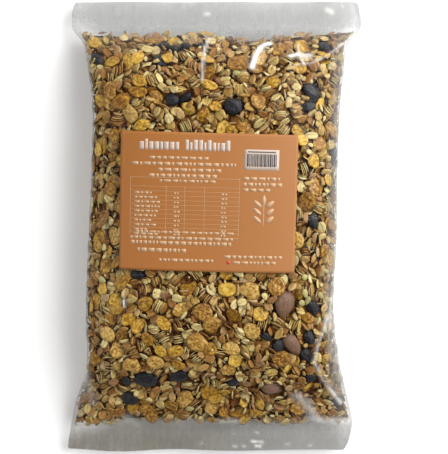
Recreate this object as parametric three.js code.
// A shut clear pillow bag full of granola with a paper label, lying on its back with the label up.
// Millimetres. +Z is up, +Y runs to the bag's top edge, +X to the right of the label.
// Lengthways places are given as "down": the distance from the bag's top edge, as the label is read.

import * as THREE from "three";

// The bag's film. Where the sides fold and the ends are sealed, two layers lie together.
const BAG_LENGTH = 352;
const FOLD_THICKNESS = 0.8;
const UNDERSIDE_PRESSED_FLAT = 1.2;

// How the cross-section is rounded: 2 is an ellipse and a larger number is nearer a box.
const CROWN_ROUNDING = 2.4;
const BELLY_ROUNDING = 3.2;

// Cross-sections along the bag. left and right are how far its side folds reach from the middle line, level is how
// high the folds lie, and above and below are how far the film stands over and under that level at the middle.
const SECTIONS = [
  { down: 0, left: 107.0, right: 110.4, level: 8.5, above: 0, below: 0 },
  { down: 3, left: 108.4, right: 111.2, level: 9.2, above: 0, below: 0 },
  { down: 9.5, left: 109.3, right: 111.8, level: 10.8, above: 0, below: 0 },
  { down: 19, left: 109.0, right: 113.2, level: 13.0, above: 0.2, below: 0.2 },
  { down: 23.5, left: 107.6, right: 110.2, level: 14.0, above: 4.0, below: 4.0 },
  { down: 28, left: 103.0, right: 104.8, level: 15.5, above: 10.0, below: 9.5 },
  { down: 38, left: 98.8, right: 100.6, level: 19.5, above: 18.5, below: 17.5 },
  { down: 51, left: 96.0, right: 98.9, level: 23.5, above: 25.0, below: 24.0 },
  { down: 76, left: 92.8, right: 96.0, level: 26.5, above: 29.5, below: 27.5 },
  { down: 126, left: 93.6, right: 94.2, level: 27.0, above: 31.0, below: 28.0 },
  { down: 181, left: 96.8, right: 94.0, level: 26.0, above: 30.0, below: 27.0 },
  { down: 238, left: 99.5, right: 92.2, level: 25.0, above: 28.5, below: 26.0 },
  { down: 266, left: 99.4, right: 95.5, level: 23.0, above: 25.0, below: 23.5 },
  { down: 285, left: 100.8, right: 99.2, level: 20.0, above: 20.0, below: 19.0 },
  { down: 295, left: 103.5, right: 101.9, level: 17.5, above: 15.5, below: 14.5 },
  { down: 306, left: 108.3, right: 104.4, level: 14.8, above: 12.0, below: 11.4 },
  { down: 317, left: 111.3, right: 107.2, level: 12.9, above: 9.0, below: 8.4 },
  { down: 327, left: 113.1, right: 109.0, level: 11.4, above: 5.0, below: 4.8 },
  { down: 332.5, left: 114.2, right: 108.9, level: 10.5, above: 0.8, below: 0.8 },
  { down: 336, left: 115.0, right: 108.4, level: 10.0, above: 0, below: 0 },
  { down: 341, left: 115.9, right: 107.4, level: 9.4, above: 0, below: 0 },
  { down: 348, left: 117.2, right: 105.8, level: 8.8, above: 0, below: 0 },
  { down: 352, left: 117.6, right: 103.2, level: 8.5, above: 0, below: 0 },
];

// The seals: where the filled part meets each flat end strip, and how the film gathers beside it.
const TOP_SEAL = { down: 20, gatherReach: 34, gatherHeight: 1.5, gatherSpacing: 21 };
const BOTTOM_SEAL = { down: 333, gatherReach: 42, gatherHeight: 1.8, gatherSpacing: 26 };
const STRIP_WAVE_HEIGHT = 1.3;
const STRIP_WAVE_SPACING = 74;
const BOTTOM_EDGE_WAVE = 0.9;

// Creases in the upper film, each a ridge along a line of [across, down] places. A negative height is a furrow.
const CREASES = [
  { line: [[84, 250], [79, 263], [75.5, 277], [84, 292], [94, 308]], height: 2.0, width: 3.6 },
  { line: [[-96, 285], [-91, 295], [-86, 306], [-84, 318]], height: 1.5, width: 3.8 },
  { line: [[-86, 334], [-67, 322], [-49, 334]], height: -1.8, width: 4.2 },
  { line: [[59, 298], [68, 304], [74, 320]], height: 1.6, width: 3.4 },
  { line: [[62, 50], [72, 47], [85, 41], [99, 32]], height: 1.4, width: 3.2 },
  { line: [[39, 33], [31, 41], [27, 52]], height: 1.3, width: 3.2 },
  { line: [[-4, 33], [-8, 45], [-9, 62]], height: 1.1, width: 3.4 },
  { line: [[-104, 25], [-96, 35], [-91, 51]], height: 1.2, width: 3.4 },
];

// The contents press low lumps into the film everywhere but under the label, which stiffens it.
const LUMP_HEIGHT = 0.55;
const LUMP_SPACING = 17;

// The paper label, turned a little clockwise.
const LABEL_WIDTH = 129.5;
const LABEL_HEIGHT = 101.5;
const LABEL_ACROSS = -4.3;
const LABEL_DOWN = 151.9;
const LABEL_TURN = THREE.MathUtils.degToRad(-1.4);
const LABEL_THICKNESS = 0.5;
const LABEL_GAP = 0.3;
const LABEL_STIFF_MARGIN = 14;

// How finely the forms are divided.
const BAG_COLUMNS = 38;
const BAG_ROW_ZONES = [
  { until: 19, step: 6.2 },
  { until: 62, step: 3.2 },
  { until: 260, step: 8.5 },
  { until: 337, step: 3.4 },
  { until: BAG_LENGTH, step: 6.2 },
];
const EDGE_CROWDING = 0.6;
const LABEL_COLUMNS = 20;
const LABEL_ROWS = 14;

const FILLED_BAG = { color: 0x8c7048, roughness: 0.35, metalness: 0 };
const ORANGE_PAPER = { color: 0xb67b43, roughness: 0.6, metalness: 0 };

// Reads every value of SECTIONS, smoothly joined, at one place along the bag.
const SECTION_VALUES = ["left", "right", "level", "above", "below"];
const sectionCurve = new THREE.CubicInterpolant(
  SECTIONS.map((section) => section.down),
  SECTIONS.flatMap((section) => SECTION_VALUES.map((name) => section[name])),
  SECTION_VALUES.length,
);

function sectionAt(down) {
  const [left, right, level, above, below] = sectionCurve.evaluate(down);
  return { left, right, level, above: Math.max(above, 0), below: Math.max(below, 0) };
}

// 1 at the middle of a cross-section, falling to 0 at its side folds, where share is -1 or 1.
function roundedFall(share, rounding) {
  return (1 - Math.abs(share) ** rounding) ** (1 / rounding);
}

// Gentle, uneven waves that don't repeat within the bag.
function unevenWave(across, down, spacing) {
  const turn = (2 * Math.PI) / spacing;
  return (
    0.5 * Math.sin(turn * across + 1.1 * Math.sin(turn * down * 0.37)) +
    0.3 * Math.sin(turn * (0.62 * down + 0.41 * across) + 2.0) +
    0.2 * Math.sin(turn * (0.9 * down - 0.77 * across) + 4.2)
  );
}

// The film's gathers: they rise quickly beside a seal and die away into the filled part.
function gathersBeside(seal, across, down) {
  const away = Math.abs(down - seal.down) / seal.gatherReach;
  if (away >= 1) return 0;
  const strength = Math.sin(Math.PI * Math.sqrt(away)) ** 2;
  return seal.gatherHeight * strength * unevenWave(across, down * 0.25, seal.gatherSpacing);
}

// The flat end strips wave up and down, most at their free edges.
function stripWave(across, down) {
  const fromTop = THREE.MathUtils.clamp(1 - down / (2 * TOP_SEAL.down), 0, 1);
  const fromBottom = THREE.MathUtils.clamp(1 - (BAG_LENGTH - down) / 45, 0, 1);
  const wave = Math.sin((2 * Math.PI * across) / STRIP_WAVE_SPACING + (down > BAG_LENGTH / 2 ? 2.2 : 0.5));
  return STRIP_WAVE_HEIGHT * (fromTop ** 2 + fromBottom ** 2) * wave;
}

function distanceToLine(across, down, line) {
  const point = new THREE.Vector3(across, down, 0);
  const nearest = new THREE.Vector3();
  const distances = line.slice(1).map((end, i) => {
    const segment = new THREE.Line3(new THREE.Vector3(...line[i], 0), new THREE.Vector3(...end, 0));
    return segment.closestPointToPoint(point, true, nearest).distanceTo(point);
  });
  return Math.min(...distances);
}

function creases(across, down) {
  return CREASES.reduce((sum, { line, height, width }) => {
    const share = distanceToLine(across, down, line) / width;
    return sum + height * Math.exp(-share * share);
  }, 0);
}

// A place on the bag in the label's own directions, measured from the label's middle.
function placeOnLabel(across, down) {
  const right = across - LABEL_ACROSS;
  const up = LABEL_DOWN - down;
  return {
    right: right * Math.cos(LABEL_TURN) + up * Math.sin(LABEL_TURN),
    up: up * Math.cos(LABEL_TURN) - right * Math.sin(LABEL_TURN),
  };
}

// 0 under the label and 1 well away from it.
function freeOfLabel(across, down) {
  const place = placeOnLabel(across, down);
  const outside = Math.max(Math.abs(place.right) - LABEL_WIDTH / 2, Math.abs(place.up) - LABEL_HEIGHT / 2);
  return THREE.MathUtils.smoothstep(outside, 2, LABEL_STIFF_MARGIN);
}

// The film's height over and under a place, with share running from -1 at the left fold to 1 at the right fold.
function shareAcross(across, section) {
  return THREE.MathUtils.clamp(across < 0 ? across / section.left : across / section.right, -1, 1);
}

function upperFilm(across, down) {
  const section = sectionAt(down);
  const fall = roundedFall(shareAcross(across, section), CROWN_ROUNDING);
  const filled = Math.min(section.above / 8, 1) * fall;
  const relief =
    gathersBeside(TOP_SEAL, across, down) +
    gathersBeside(BOTTOM_SEAL, across, down) +
    creases(across, down) +
    LUMP_HEIGHT * unevenWave(across, down, LUMP_SPACING);
  return (
    section.level +
    stripWave(across, down) +
    FOLD_THICKNESS / 2 +
    section.above * fall +
    relief * filled * freeOfLabel(across, down)
  );
}

function lowerFilm(across, down) {
  const section = sectionAt(down);
  const fall = roundedFall(shareAcross(across, section), BELLY_ROUNDING);
  const filled = Math.min(section.below / 8, 1) * fall;
  const relief =
    gathersBeside(TOP_SEAL, across + 40, down) +
    gathersBeside(BOTTOM_SEAL, across - 30, down) +
    LUMP_HEIGHT * unevenWave(across + 60, down + 25, LUMP_SPACING);
  const height =
    section.level +
    stripWave(across, down) -
    FOLD_THICKNESS / 2 -
    (section.below + UNDERSIDE_PRESSED_FLAT) * fall * Math.min(section.below / 8, 1) +
    relief * filled;
  return Math.max(height, 0);
}

// A closed body between an upper and a lower sheet of points, which share one grid, with a wall round its rim.
// Columns run to the right (+X) and rows down the bag (-Y).
function bodyBetween(columns, rows, upperPoint, lowerPoint) {
  const positions = [];
  for (const pointAt of [upperPoint, lowerPoint]) {
    for (let row = 0; row <= rows; row++) {
      for (let column = 0; column <= columns; column++) {
        positions.push(...pointAt(column, row));
      }
    }
  }
  const sheetSize = (columns + 1) * (rows + 1);
  const upper = (column, row) => row * (columns + 1) + column;
  const lower = (column, row) => sheetSize + upper(column, row);
  const index = [];
  const addQuad = (a, b, c, d) => index.push(a, b, c, a, c, d);
  for (let row = 0; row < rows; row++) {
    for (let column = 0; column < columns; column++) {
      const corners = [[column, row], [column, row + 1], [column + 1, row + 1], [column + 1, row]];
      addQuad(...corners.map((corner) => upper(...corner)));
      addQuad(...corners.map((corner) => lower(...corner)).reverse());
    }
    addQuad(upper(0, row), lower(0, row), lower(0, row + 1), upper(0, row + 1));
    addQuad(upper(columns, row + 1), lower(columns, row + 1), lower(columns, row), upper(columns, row));
  }
  for (let column = 0; column < columns; column++) {
    addQuad(upper(column + 1, 0), lower(column + 1, 0), lower(column, 0), upper(column, 0));
    addQuad(upper(column, rows), lower(column, rows), lower(column + 1, rows), upper(column + 1, rows));
  }
  const geometry = new THREE.BufferGeometry();
  geometry.setAttribute("position", new THREE.Float32BufferAttribute(positions, 3));
  geometry.setIndex(index);
  geometry.computeVertexNormals();
  return geometry;
}

// Row places down the bag: close together where the film turns quickly, wide apart along its middle.
function bagRows() {
  const rows = [0];
  for (const { until, step } of BAG_ROW_ZONES) {
    const start = rows[rows.length - 1];
    const count = Math.round((until - start) / step);
    for (let i = 1; i <= count; i++) {
      rows.push(start + ((until - start) * i) / count);
    }
  }
  return rows;
}

function bag() {
  const rows = bagRows();
  const placeAt = (column, row) => {
    const even = (2 * column) / BAG_COLUMNS - 1;
    const share = (1 - EDGE_CROWDING) * even + EDGE_CROWDING * Math.sin((even * Math.PI) / 2);
    const section = sectionAt(rows[row]);
    return [share * (share < 0 ? section.left : section.right), rows[row]];
  };
  // The sealed ends were cut a little unevenly.
  const lengthways = (across, down) =>
    down + BOTTOM_EDGE_WAVE * Math.max(down / BAG_LENGTH - 0.97, 0) * 33 * Math.sin(across / 15);
  const pointWith = (height) => (column, row) => {
    const [across, down] = placeAt(column, row);
    return [across, -lengthways(across, down), height(across, down)];
  };
  const geometry = bodyBetween(BAG_COLUMNS, rows.length - 1, pointWith(upperFilm), pointWith(lowerFilm));
  return named("bag", geometry, FILLED_BAG);
}

function label() {
  const pointRaised = (raised) => (column, row) => {
    const right = (column / LABEL_COLUMNS - 0.5) * LABEL_WIDTH;
    const up = (0.5 - row / LABEL_ROWS) * LABEL_HEIGHT;
    const across = LABEL_ACROSS + right * Math.cos(LABEL_TURN) - up * Math.sin(LABEL_TURN);
    const down = LABEL_DOWN - right * Math.sin(LABEL_TURN) - up * Math.cos(LABEL_TURN);
    return [across, -down, upperFilm(across, down) + raised];
  };
  const under = pointRaised(LABEL_GAP);
  const top = pointRaised(LABEL_GAP + LABEL_THICKNESS);
  return named("label", bodyBetween(LABEL_COLUMNS, LABEL_ROWS, top, under), ORANGE_PAPER);
}

function named(name, geometry, finish) {
  const mesh = new THREE.Mesh(geometry, new THREE.MeshStandardMaterial(finish));
  mesh.name = name;
  return mesh;
}

// Moves the group so that the middle of its underside is at the origin.
function standOnOrigin(group) {
  const bounds = new THREE.Box3().setFromObject(group, true);
  const middle = bounds.getCenter(new THREE.Vector3());
  group.position.set(-middle.x, -middle.y, -bounds.min.z);
  return group;
}

const granolaBag = new THREE.Group();
granolaBag.name = "bag_of_granola";
granolaBag.add(bag(), label());

export default standOnOrigin(granolaBag);
